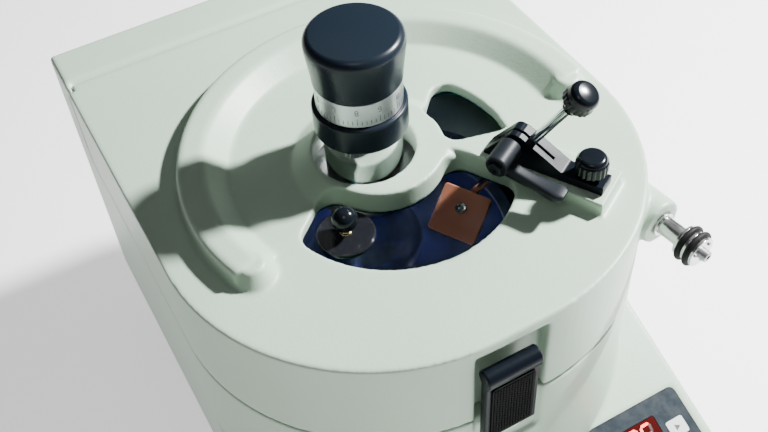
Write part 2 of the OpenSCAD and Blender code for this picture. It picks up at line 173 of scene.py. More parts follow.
def prism(bm, outline, low, high, place=None):
    """Extrudes a flat outline from low to high."""
    place = place or Matrix.Identity(4)
    ends = []
    for z in (low, high):
        ends.append([bm.verts.new((place @ Vector((x, y, z))) * MM) for x, y in outline])
    bm.faces.new(list(reversed(ends[0])))
    bm.faces.new(ends[1])
    count = len(outline)
    for i in range(count):
        k = (i + 1) % count
        bm.faces.new((ends[0][i], ends[0][k], ends[1][k], ends[1][i]))
    return bm


def rounded(wide, deep, radius, x=0, y=0, steps=6):
    """Outline of a rectangle with round corners, centred on x, y."""
    points = []
    for quarter, (sx, sy) in enumerate(((1, 1), (-1, 1), (-1, -1), (1, -1))):
        for i in range(steps + 1):
            turn = math.pi / 2 * (quarter + i / steps)
            points.append((x + sx * (wide / 2 - radius) + radius * math.cos(turn),
                           y + sy * (deep / 2 - radius) + radius * math.sin(turn)))
    return points


def arc(cx, cy, radius, start, end, steps=8):
    """Points of an arc in a profile, angles in degrees."""
    points = []
    for i in range(steps + 1):
        turn = math.radians(start + (end - start) * i / steps)
        points.append((cx + radius * math.cos(turn), cy + radius * math.sin(turn)))
    return points


def cut(bm, tool):
    """Takes the tool's mesh out of the first mesh."""
    pair = []
    for part in (bm, tool):
        bmesh.ops.recalc_face_normals(part, faces=part.faces)
        mesh = bpy.data.meshes.new("cut")
        part.to_mesh(mesh)
        part.free()
        obj = bpy.data.objects.new("cut", mesh)
        bpy.context.collection.objects.link(obj)
        pair.append(obj)
    knife = pair[0].modifiers.new("cut", "BOOLEAN")
    knife.object = pair[1]
    knife.solver = "EXACT"
    done = bmesh.new()
    done.from_object(pair[0], bpy.context.evaluated_depsgraph_get())
    for obj in pair:
        bpy.data.objects.remove(obj)
    return done


def piece(name, bm, finish, body, replaced=(), bevel=0.0, steps=3, angle=32):
    """Turns the mesh into a finished piece that rides on a body."""
    bmesh.ops.recalc_face_normals(bm, faces=bm.faces)
    mesh = bpy.data.meshes.new(name)
    bm.to_mesh(mesh)
    bm.free()
    obj = bpy.data.objects.new(name, mesh)
    bpy.context.collection.objects.link(obj)
    mesh.materials.append(MATERIALS[finish])
    for face in mesh.polygons:
        face.use_smooth = True
    if bevel:
        edge = obj.modifiers.new("edge", "BEVEL")
        edge.width = bevel * MM
        edge.segments = steps
        edge.limit_method = "ANGLE"
        edge.angle_limit = math.radians(angle)
        edge.harden_normals = False
    normal = obj.modifiers.new("normals", "WEIGHTED_NORMAL")
    normal.keep_sharp = True
    mesh.set_sharp_from_angle(angle=math.radians(50 if bevel else 40))
    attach(obj, body)
    if replaced:
        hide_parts(*replaced)
    return obj


def moulded(name, node, finish, body, voxel, rounds):
    """A soft-edged moulding made from a frame node by remeshing and smoothing its edges."""
    mesh = frame["nodes"][node].data.copy()
    mesh.name = name
    mesh.materials.clear()
    mesh.materials.append(MATERIALS[finish])
    obj = bpy.data.objects.new(name, mesh)
    bpy.context.collection.objects.link(obj)
    remesh = obj.modifiers.new("remesh", "REMESH")
    remesh.mode = "VOXEL"
    remesh.voxel_size = voxel * MM
    remesh.use_smooth_shade = True
    soften = obj.modifiers.new("soften", "SMOOTH")
    soften.factor = 0.5
    soften.iterations = rounds
    depsgraph = bpy.context.evaluated_depsgraph_get()
    done = bpy.data.meshes.new_from_object(obj.evaluated_get(depsgraph))
    obj.modifiers.clear()
    obj.data = done
    done.materials.clear()
    done.materials.append(MATERIALS[finish])
    for face in done.polygons:
        face.use_smooth = True
    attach(obj, body)
    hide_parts(node)
    return obj


# ---------------------------------------------------------------- shader groups

def group(name, inputs, outputs):
    """A new shader node group with its sockets, and its two end nodes."""
    tree = bpy.data.node_groups.new(name, "ShaderNodeTree")
    for label, kind, default in inputs:
        socket = tree.interface.new_socket(label, in_out="INPUT", socket_type=kind)
        socket.default_value = default
    for label, kind in outputs:
        tree.interface.new_socket(label, in_out="OUTPUT", socket_type=kind)
    return tree, tree.nodes.new("NodeGroupInput"), tree.nodes.new("NodeGroupOutput")


def noise(tree, scale, detail=3.0, rough=0.5, stretch=None):
    """A noise texture in object space."""
    coords = tree.nodes.new("ShaderNodeTexCoord")
    node = tree.nodes.new("ShaderNodeTexNoise")
    node.inputs["Detail"].default_value = detail
    node.inputs["Roughness"].default_value = rough
    node.inputs["Scale"].default_value = scale
    mapping = tree.nodes.new("ShaderNodeMapping")
    mapping.inputs["Scale"].default_value = stretch or (1, 1, 1)
    tree.links.new(coords.outputs["Object"], mapping.inputs["Vector"])
    tree.links.new(mapping.outputs["Vector"], node.inputs["Vector"])
    return node


def ramp(tree, source, low, high, dark=0.0, light=1.0):
    """Maps source from low..high to dark..light."""
    node = tree.nodes.new("ShaderNodeMapRange")
    node.inputs["From Min"].default_value = low
    node.inputs["From Max"].default_value = high
    node.inputs["To Min"].default_value = dark
    node.inputs["To Max"].default_value = light
    tree.links.new(source, node.inputs["Value"])
    return node.outputs["Result"]


def grain_group():
    """Fine moulded grain: a height, a speckle mask and a slow tone mask."""
    tree, start, end = group("moulded grain", [("Grain Scale", "NodeSocketFloat", 900.0)],
                             [
                                 ("Height", "NodeSocketFloat"), ("Speckle", "NodeSocketFloat"),
                                 ("Tone", "NodeSocketFloat")])
    fine = noise(tree, 900.0, 2.0, 0.6)
    tree.links.new(start.outputs["Grain Scale"], fine.inputs["Scale"])
    slow = noise(tree, 9.0, 3.0, 0.5)
    tree.links.new(ramp(tree, fine.outputs["Fac"], 0.35, 0.65), end.inputs["Height"])
    tree.links.new(ramp(tree, fine.outputs["Fac"], 0.6, 0.75), end.inputs["Speckle"])
    tree.links.new(ramp(tree, slow.outputs["Fac"], 0.3, 0.7), end.inputs["Tone"])
    return tree


def wear_group():
    """Worn edges and settled dust, as two masks."""
    tree, start, end = group("edges and dust", [("Edge Size", "NodeSocketFloat", 0.52)],
                             [("Edge", "NodeSocketFloat"), ("Dust", "NodeSocketFloat")])
    geometry = tree.nodes.new("ShaderNodeNewGeometry")
    edge = tree.nodes.new("ShaderNodeMapRange")
    edge.inputs["From Max"].default_value = 0.6
    tree.links.new(start.outputs["Edge Size"], edge.inputs["From Min"])
    tree.links.new(geometry.outputs["Pointiness"], edge.inputs["Value"])
    breakup = noise(tree, 140.0, 4.0, 0.6)
    both = tree.nodes.new("ShaderNodeMath")
    both.operation = "MULTIPLY"
    tree.links.new(edge.outputs["Result"], both.inputs[0])
    tree.links.new(ramp(tree, breakup.outputs["Fac"], 0.35, 0.65), both.inputs[1])
    tree.links.new(both.outputs["Value"], end.inputs["Edge"])
    facing = tree.nodes.new("ShaderNodeSeparateXYZ")
    tree.links.new(geometry.outputs["Normal"], facing.inputs["Vector"])
    specks = noise(tree, 60.0, 5.0, 0.7)
    dust = tree.nodes.new("ShaderNodeMath")
    dust.operation = "MULTIPLY"
    tree.links.new(ramp(tree, facing.outputs["Z"], 0.3, 1.0), dust.inputs[0])
    tree.links.new(ramp(tree, specks.outputs["Fac"], 0.45, 0.75), dust.inputs[1])
    tree.links.new(dust.outputs["Value"], end.inputs["Dust"])
    return tree


def brushed_group():
    """Fine turning marks: a height and a roughness mask."""
    tree, start, end = group("turning marks", [("Line Scale", "NodeSocketFloat", 1.0)],
                             [("Height", "NodeSocketFloat"), ("Streak", "NodeSocketFloat")])
    lines = noise(tree, 1.0, 3.0, 0.6, (40, 40, 2600))
    tree.links.new(start.outputs["Line Scale"], lines.inputs["Scale"])
    cloud = noise(tree, 70.0, 4.0, 0.6)
    tree.links.new(ramp(tree, lines.outputs["Fac"], 0.3, 0.7), end.inputs["Height"])
    tree.links.new(ramp(tree, cloud.outputs["Fac"], 0.3, 0.7), end.inputs["Streak"])
    return tree


def shared(name, maker):
    """The shader group of that name, built once."""
    if name not in GROUPS:
        GROUPS[name] = maker()
    return GROUPS[name]


def use(tree, maker, **values):
    """Places a shared group in a material."""
    node = tree.nodes.new("ShaderNodeGroup")
    node.node_tree = shared(maker.__name__, maker)
    for label, value in values.items():
        node.inputs[label.replace("_", " ")].default_value = value
    return node


def blank(name):
    """A material with a Principled shader, and its tree and shader."""
    material = bpy.data.materials.new(name)
    material.use_nodes = True
    return material, material.node_tree, material.node_tree.nodes["Principled BSDF"]


def blend_colour(tree, mask, first, second):
    """Mixes two colours by a mask and gives the output socket."""
    node = tree.nodes.new("ShaderNodeMix")
    node.data_type = "RGBA"
    tree.links.new(mask, node.inputs["Factor"])
    for key, value in ((6, first), (7, second)):
        if isinstance(value, bpy.types.NodeSocket):
            tree.links.new(value, node.inputs[key])
        else:
            node.inputs[key].default_value = (*value[:3], 1)
    return node.outputs[2]


def bump(tree, shader, height, strength, distance):
    node = tree.nodes.new("ShaderNodeBump")
    node.inputs["Strength"].default_value = strength
    node.inputs["Distance"].default_value = distance * MM
    tree.links.new(height, node.inputs["Height"])
    tree.links.new(node.outputs["Normal"], shader.inputs["Normal"])


def plastic(
    name, colour, rough, grain=900.0, height=0.06, strength=0.35, dust=0.04, worn=0.25, coat=0.0,
    ior=1.5):
    """Moulded plastic or paint with grain, worn edges and a trace of dust."""
    material, tree, shader = blank(name)
    marks = use(tree, grain_group, Grain_Scale=grain)
    wear = use(tree, wear_group)
    deep = tuple(c * 0.93 for c in colour)
    lighter = tuple(min(1.0, c + worn * (0.9 - c) * 0.5) for c in colour)
    dusty = tuple(c + (0.55 - c) * 0.5 for c in colour)
    tone = blend_colour(tree, marks.outputs["Tone"], deep, colour)
    edged = blend_colour(tree, wear.outputs["Edge"], tone, lighter)
    amount = tree.nodes.new("ShaderNodeMath")
    amount.operation = "MULTIPLY"
    amount.inputs[1].default_value = dust
    tree.links.new(wear.outputs["Dust"], amount.inputs[0])
    tree.links.new(
        blend_colour(tree, amount.outputs["Value"], edged, dusty), shader.inputs["Base Color"])
    tree.links.new(
        ramp(tree, marks.outputs["Tone"], 0, 1, rough - 0.03, rough + 0.04),
        shader.inputs["Roughness"])
    shader.inputs["IOR"].default_value = ior
    shader.inputs["Coat Weight"].default_value = coat
    shader.inputs["Coat Roughness"].default_value = 0.12
    bump(tree, shader, marks.outputs["Height"], strength, height)
    return material


def metal(name, colour, rough, lines=1.0, strength=0.12, height=0.02, worn=0.2):
    """Turned or brushed metal."""
    material, tree, shader = blank(name)
    marks = use(tree, brushed_group, Line_Scale=lines)
    wear = use(tree, wear_group)
    deep = tuple(c * 0.85 for c in colour)
    bright = tuple(min(1.0, c + worn * 0.3) for c in colour)
    tone = blend_colour(tree, marks.outputs["Streak"], deep, colour)
    tree.links.new(
        blend_colour(tree, wear.outputs["Edge"], tone, bright), shader.inputs["Base Color"])
    tree.links.new(
        ramp(tree, marks.outputs["Streak"], 0, 1, max(0.02, rough - 0.03), rough + 0.05),
        shader.inputs["Roughness"])
    shader.inputs["Metallic"].default_value = 1.0
    bump(tree, shader, marks.outputs["Height"], strength, height)
    return material


def glass(name, face, edge, alpha_face, rough):
    """Window glass whose cut edges show deep teal."""
    material, tree, shader = blank(name)
    geometry = tree.nodes.new("ShaderNodeNewGeometry")
    facing = tree.nodes.new("ShaderNodeSeparateXYZ")
    tree.links.new(geometry.outputs["Normal"], facing.inputs["Vector"])
    size = tree.nodes.new("ShaderNodeMath")
    size.operation = "ABSOLUTE"
    tree.links.new(facing.outputs["Z"], size.inputs[0])
    flat = ramp(tree, size.outputs["Value"], 0.3, 0.8)
    tree.links.new(blend_colour(tree, flat, edge, face), shader.inputs["Base Color"])
    tree.links.new(ramp(tree, flat, 0, 1, 0.95, alpha_face), shader.inputs["Alpha"])
    shader.inputs["Roughness"].default_value = rough
    shader.inputs["IOR"].default_value = 1.5
    smear = use(tree, grain_group, Grain_Scale=30.0)
    tree.links.new(
        ramp(tree, smear.outputs["Tone"], 0, 1, rough, rough + 0.03), shader.inputs["Roughness"])
    return material


def lit(name, colour, power):
    """A glowing segment."""
    material, tree, shader = blank(name)
    marks = use(tree, grain_group, Grain_Scale=400.0)
    tree.links.new(
        blend_colour(tree, marks.outputs["Tone"], tuple(c * 0.8 for c in colour), colour),
        shader.inputs["Base Color"])
    tree.links.new(
        blend_colour(tree, marks.outputs["Tone"], tuple(c * 0.9 for c in colour), colour),
        shader.inputs["Emission Color"])
    shader.inputs["Emission Strength"].default_value = power
    shader.inputs["Roughness"].default_value = 0.4
    return material


def make_materials(colours):
    """Every finish on the machine, by name."""
    shell = tuple(colours.shell)
    black = tuple(colours.black)
    return {
        "shell": plastic("shell grey moulding", shell, 0.42, 620.0, 0.10, 0.30, 0.03, 0.2),
        "pan": plastic(
            "dark pan paint", (0.022, 0.024, 0.026), 0.5, 700.0, 0.03, 0.2, 0.01, 0.05, 0.0, 1.3),
        "rubber": plastic(
            "black rubber", (0.009, 0.009, 0.010), 0.6, 700.0, 0.06, 0.3, 0.02, 0.05, 0.0, 1.25),
        "black": plastic("black fittings", black, 0.34, 1100.0, 0.03, 0.25, 0.0, 0.0, 0.0, 1.2),
        "gloss": plastic(
            "gloss black knob", (0.005, 0.007, 0.010), 0.16, 300.0, 0.01, 0.05, 0.0, 0.03, 0.0,
            1.3),
        "knob": plastic(
            "deep black knob", tuple(colours.knob), 0.26, 900.0, 0.02, 0.12, 0.0, 0.03, 0.0, 1.28),
        "graphite": plastic(
            "graphite casting", (0.010, 0.013, 0.017), 0.42, 1000.0, 0.04, 0.3, 0.0, 0.04, 0.0,
            1.24),
        "pad": plastic(
            "latch pad", (0.003, 0.003, 0.004), 0.5, 700.0, 0.05, 0.3, 0.0, 0.0, 0.0, 1.12),
        "steel": metal("turned steel", (0.62, 0.62, 0.62), 0.22),
        # painted shade: the dark navy of the well steel stands in for the shade inside the closed
        # chamber
        "well": metal("well steel, painted chamber shade", (0.06, 0.065, 0.13), 0.26, 0.6, 0.12),
        "chrome": metal("chrome", (0.78, 0.80, 0.81), 0.07, 1.0, 0.05, 0.01),
        # painted reflection: the pale blue of the mortar steel stands in for the blue-white light
        # it reflects
        "mortar": metal("mortar steel, painted blue reflection", (0.55, 0.60, 0.98), 0.30, 0.6, 0.10),
        # painted shade and reflection: the navy of the pestle steel stands in for chamber shade
        # and blue reflected light
        "bell": metal("pestle steel, painted shade and blue reflection", (0.22, 0.24, 0.46), 0.22, 0.6, 0.08),
        "alloy": metal("cast alloy", (0.45, 0.46, 0.47), 0.4, 0.3, 0.3, 0.05),
        "brass": metal("brass", (0.68, 0.52, 0.26), 0.2),
        "scale": metal("satin scale ring", (0.56, 0.58, 0.6), 0.34, 1.0, 0.2),
        "ink": plastic("dark print", (0.02, 0.022, 0.025), 0.4, 500.0, 0.01, 0.05),
        "film": plastic(
            "keypad film", tuple(colours.film), 0.55, 900.0, 0.02, 0.1, 0.0, 0.05, 0.0, 1.12),
        "film_edge": plastic(
            "keypad border", (0.012, 0.015, 0.016), 0.5, 900.0, 0.02, 0.15, 0.0, 0.05, 0.0, 1.2),
        "key": plastic("key film", (0.66, 0.69, 0.68), 0.34, 900.0, 0.02, 0.15),
        "lens": plastic(
            "display lens", (0.05, 0.002, 0.002), 0.2, 300.0, 0.005, 0.05, 0.0, 0.0, 0.0, 1.25),
        "led": lit("lit segment", (1.0, 0.05, 0.02), 9.0),
        "unlit": plastic("unlit segment", (0.05, 0.004, 0.003), 0.3),
        "resin": plastic("scraper resin", tuple(colours.resin), 0.38, 260.0, 0.05, 0.3, 0.05),
        "smoked": glass("smoked plug", (0.012, 0.013, 0.016), (0.01, 0.012, 0.014), 0.8, 0.06),
        "glass": glass("window glass", (0.02, 0.03, 0.05), (0.012, 0.075, 0.085), 0.055, 0.02),
        "board": plastic("board lacquer", (0.02, 0.09, 0.04), 0.4, 300.0),
        "motor": plastic("motor paint", (0.07, 0.075, 0.085), 0.45, 500.0),
    }


def dress(node, finish):
    """Gives a frame node its finish."""
    obj = frame["nodes"][node]
    obj.data.materials.clear()
    obj.data.materials.append(MATERIALS[finish])
    for face in obj.data.polygons:
        face.use_smooth = True
    obj.data.set_sharp_from_angle(angle=math.radians(35))


# ---------------------------------------------------------------- settings

class GrinderSizes(bpy.types.PropertyGroup):
    """Sizes of the finish, in millimetres."""
    lid_grid: FloatProperty(
        name="Lid grid", description="Grid size of the lid's soft moulding", default=1.3, min=1.0,
        max=4.0)
    housing_grid: FloatProperty(
        name="Housing grid", description="Grid size of the housing's soft moulding", default=1.6,
        min=1.2, max=5.0)
    edge: FloatProperty(
        name="Edge", description="Radius of a machined edge", default=0.5, min=0.1, max=2.0)
    flutes: IntProperty(
        name="Flutes", description="Grooves round a hand knob", default=14, min=6, max=40)
    marks: IntProperty(
        name="Scale marks", description="Lines round the pressure scale", default=60, min=10,
        max=120)


class GrinderColours(bpy.types.PropertyGroup):
    """Colours of the finishes."""
    shell: FloatVectorProperty(
        name="Shell", description="Colour of the mouldings", subtype="COLOR",
        default=(0.43, 0.56, 0.44), min=0, max=1)
    black: FloatVectorProperty(
        name="Black", description="Colour of the black fittings", subtype="COLOR",
        default=(0.004, 0.006, 0.010), min=0, max=1)
    knob: FloatVectorProperty(
        name="Knob", description="Colour of the pressure knob", subtype="COLOR",
        default=(0.008, 0.013, 0.020), min=0, max=1)
    film: FloatVectorProperty(
        name="Keypad", description="Colour of the keypad film", subtype="COLOR",
        default=(0.022, 0.030, 0.038), min=0, max=1)
    resin: FloatVectorProperty(
        name="Scraper", description="Colour of the scraper blade", subtype="COLOR",
        default=(0.55, 0.20, 0.11), min=0, max=1)


class GrinderOperator:
    """What every building step shares."""
    bl_options = {"REGISTER", "UNDO"}

    @property
    def sizes(self):
        return bpy.context.scene.grinder_sizes


class GRINDER_OT_finishes(GrinderOperator, bpy.types.Operator):
    """Makes every finish"""
    bl_idname = "grinder.finishes"
    bl_label = "Finishes"

    def execute(self, context):
        MATERIALS.update(make_materials(context.scene.grinder_colours))
        return {"FINISHED"}


class GRINDER_OT_mouldings(GrinderOperator, bpy.types.Operator):
    """Builds the lid and housing mouldings"""
    bl_idname = "grinder.mouldings"
    bl_label = "Lid and housing"

    def execute(self, context):
        sizes = self.sizes
        coarse = 1.0
        moulded(
            "lid_moulding", "lid_shell", "shell", "lid", sizes.lid_grid * coarse, 5)
        moulded(
            "housing_moulding", "housing", "shell", "base", sizes.housing_grid * coarse, 4)
        return {"FINISHED"}


class GRINDER_OT_tower(GrinderOperator, bpy.types.Operator):
    """Builds the pestle tower: sleeve, collar, scale and pressure knob"""
    bl_idname = "grinder.tower"
    bl_label = "Pestle tower"

    def execute(self, context):
        place = Matrix.Translation(TOWER)
        edge = self.sizes.edge
        sleeve = lathe(
            bmesh.new(),
            [(14.05, 297), (24.7, 297), (24.7, 338.5), (18, 338.5), (18, 393), (14.05, 393)],
            place, 128)
        piece(
            "chrome_sleeve", sleeve, "chrome", "carriage", ("guide_sleeve",),
            edge)
        collar = lathe(
            bmesh.new(),
            [(18.05, 338.9)] + arc(27, 341.1, 2.2, -90, 0, 5) + arc(27.4, 356.8, 1.8, 0, 90, 5)
            + [(18.05, 358.6)],
            place, 128)
        piece("clamp_collar", collar, "knob", "collar", ("lock_collar",))
        ring = lathe(
            bmesh.new(),
            [(18, 359)] + arc(26, 359.5, 0.5, -90, 0, 3) + arc(26, 375.5, 0.5, 0, 90, 3)
            + [(18, 376)],
            place, 128)
        piece("pressure_scale", ring, "scale", "carriage", ("scale_ring",))
        self.marks(place)
        profile = [(18.05, 376.4)] + arc(26.3, 377.2, 0.8, -90, 0, 4) + [(27.4, 382), (29.5, 399)]
        profile += arc(23.6, 403.2, 6.1, 5, 72, 12)
        profile += [(16, 409.75), (0, 409.9), (0, 403), (18.05, 403)]
        knob = lathe(bmesh.new(), profile, place, 160)
        piece("pressure_handwheel", knob, "knob", "knob", ("pressure_knob",))
        quill = lathe(bmesh.new(), [(9.05, 293), (14, 293), (14, 397), (9.05, 397)], place)
        piece("quill_tube", quill, "steel", "quill", ("pestle_quill",), edge)
        bell = [
            (0, 184.6), (6, 185), (11, 186.6), (16, 190.2), (20, 194.8), (24.5, 201.2),
            (28.6, 208), (31.6, 214.4), (34, 221.6)]
        bell += [
            (34.9, 228), (34.4, 234), (32.4, 239.4), (29.8, 244.4), (27.8, 248.8), (26.2, 253.4),
            (25.3, 258), (24.9, 264)]
        bell += [(24.9, 284.5)] + arc(22.4, 286.4, 2.4, 0, 90, 5)
        bell += [(9, 288.8), (9, 262), (0, 262)]
        piece(
            "pestle_body", lathe(bmesh.new(), bell, place, 128), "bell", "pestle",
            ("pestle_bell",))
        plate = lathe(
            bmesh.new(), [(14.3, 293.5), (38, 293.5), (38, 297), (14.3, 297)], place, 128)
        piece(
            "carriage_disc", plate, "alloy", "carriage", ("pestle_carriage",), edge)
        return {"FINISHED"}

    def marks(self, place):
        """Plain lines and numerals round the scale."""
        bm = bmesh.new()
        count = self.sizes.marks
        for i in range(count):
            turn = Matrix.Rotation(2 * math.pi * i / count, 4, "Z")
            tall = 5.0 if i % 5 == 0 else 3.0
            spot = place @ turn @ at(SCALE_R, 0, 361.2 + tall / 2) @ spin(90, "Y")
            prism(bm, rounded(tall, 0.35, 0.05, steps=1), 0, 0.1, spot)
            if i % 5 == 0:
                text = f"{i // 5}"
                for k, digit in enumerate(text):
                    shift = (k - (len(text) - 1) / 2) * 2.6 / 26.5
                    swing = Matrix.Rotation(shift, 4, "Z")
                    stand = Matrix(
                        ((0, 0, 1, SCALE_R), (1, 0, 0, 0), (0, 1, 0, 370.5), (0, 0, 0, 1)))
                    segments(bm, digit, 1.7, 3.4, 0.42, 0.1, place @ turn @ swing @ stand)
        piece("scale_print", bm, "ink", "carriage", ())


SEGMENTS = {
    "0": "abcdef", "1": "bc", "2": "abged", "3": "abgcd", "4": "fgbc", "5": "afgcd",
    "6": "afgedc", "7": "abc", "8": "abcdefg", "9": "abcfgd",
}


def segments(bm, digit, wide, tall, thick, high, place, wanted=None, lean=0.0):
    """Bars of a seven-bar numeral, centred on the place's origin."""
    half, quarter = wide / 2, tall / 4
    bars = {
        "a": (0, tall / 2, wide, 0), "g": (0, 0, wide, 0), "d": (0, -tall / 2, wide, 0),
        "f": (-half, quarter, tall / 2, 1), "b": (half, quarter, tall / 2, 1),
        "e": (-half, -quarter, tall / 2, 1), "c": (half, -quarter, tall / 2, 1),
    }
    slant = Matrix(((1, lean, 0, 0), (0, 1, 0, 0), (0, 0, 1, 0), (0, 0, 0, 1)))
    for bar in wanted if wanted is not None else SEGMENTS[digit]:
        x, y, long, upright = bars[bar]
        reach = long / 2 - thick * 0.12
        tip = thick / 2
        outline = [(-reach, 0), (-reach + tip, -tip), (reach - tip, -tip)]
        outline += [(reach, 0), (reach - tip, tip), (-reach + tip, tip)]
        turn = spin(90 if upright else 0, "Z")
        prism(bm, outline, 0, high, place @ slant @ at(x, y, 0) @ turn)


class GRINDER_OT_grinding(GrinderOperator, bpy.types.Operator):
    """Builds the mortar, its seat and the well"""
    bl_idname = "grinder.grinding"
    bl_label = "Mortar and well"

    def execute(self, context):
        centre = middle("mortar")
        place = at(0, centre.y, 0)
        bowl = [(0, 175.5), (60, 175.5), (78, 196), (84, 214), (86, 222)]
        bowl += arc(84.5, 234.5, 1.5, 0, 90, 4) + arc(77.5, 234.5, 1.5, 90, 180, 4)
        bowl += [(75.5, 222), (74.4, 212), (71, 202)]
        bowl += arc(50, 206, 22, -25, -90, 8) + [(0, 184)]
        piece(
            "mortar_bowl", lathe(bmesh.new(), bowl, place, 160), "mortar", "mortar_drive",
            ("mortar",))
        well = [
            (24, 160), (97, 160), (97, 237.5), (104, 237.5), (104, 239), (96, 239), (95, 238),
            (95, 166)]
        well += arc(91, 166, 4, 0, -90, 4) + [(24, 162)]
        piece(
            "well", lathe(bmesh.new(), well, place, 160), "well", "base", ("chamber_liner",))
        seat = [(0, 163), (20, 163), (20, 170), (60, 170), (60, 175.5), (0, 175.5)]
        piece(
            "mortar_seat", lathe(bmesh.new(), seat, place), "alloy", "mortar_drive",
            ("mortar_holder",), 0.6)
        return {"FINISHED"}


class GRINDER_OT_plug(GrinderOperator, bpy.types.Operator):
    """Builds the feed plug with its stem and ball"""
    bl_idname = "grinder.plug"
    bl_label = "Feed plug"

    def execute(self, context):
        place = at(PLUG.x, PLUG.y, 0)
        g = GLASS_Z
        disc = [(0, g - 4), (14.2, g - 4), (14.4, g + 0.3)]
        disc += arc(17.2, g + 1.1, 0.8, -90, 0, 3) + arc(16.8, g + 2.1, 1.2, 0, 90, 5)
        disc += [(0, g + 3.3)]
        piece(
            "feed_disc", lathe(bmesh.new(), disc, place, 96), "smoked", "feed_plug",
            ("plug_disc",))
        stem = [
            (0, g + 3.3), (3.6, g + 3.3), (3.6, g + 4.3), (2.5, g + 4.8), (2.5, g + 10),
            (0, g + 10)]
        piece(
            "feed_stem", lathe(bmesh.new(), stem, place, 48), "brass", "feed_plug", ("plug_stem",),
            0.2)
        ball = [(0, g + 8.4), (2.4, g + 8.1)] + arc(0, g + 15, 8.0, -60, 90, 20)
        piece(
            "feed_ball", lathe(bmesh.new(), ball, place, 64), "gloss", "feed_plug", ("plug_ball",))
        return {"FINISHED"}


def flutes(count, depth, low, high):
    """Round grooves for the skirt of a hand knob, between two heights."""
    def wave(turn, radius, height):
        if low < height < high and radius > 7:
            return -depth * (0.5 - 0.5 * math.cos(count * turn)) ** 2
        return 0
    return wave


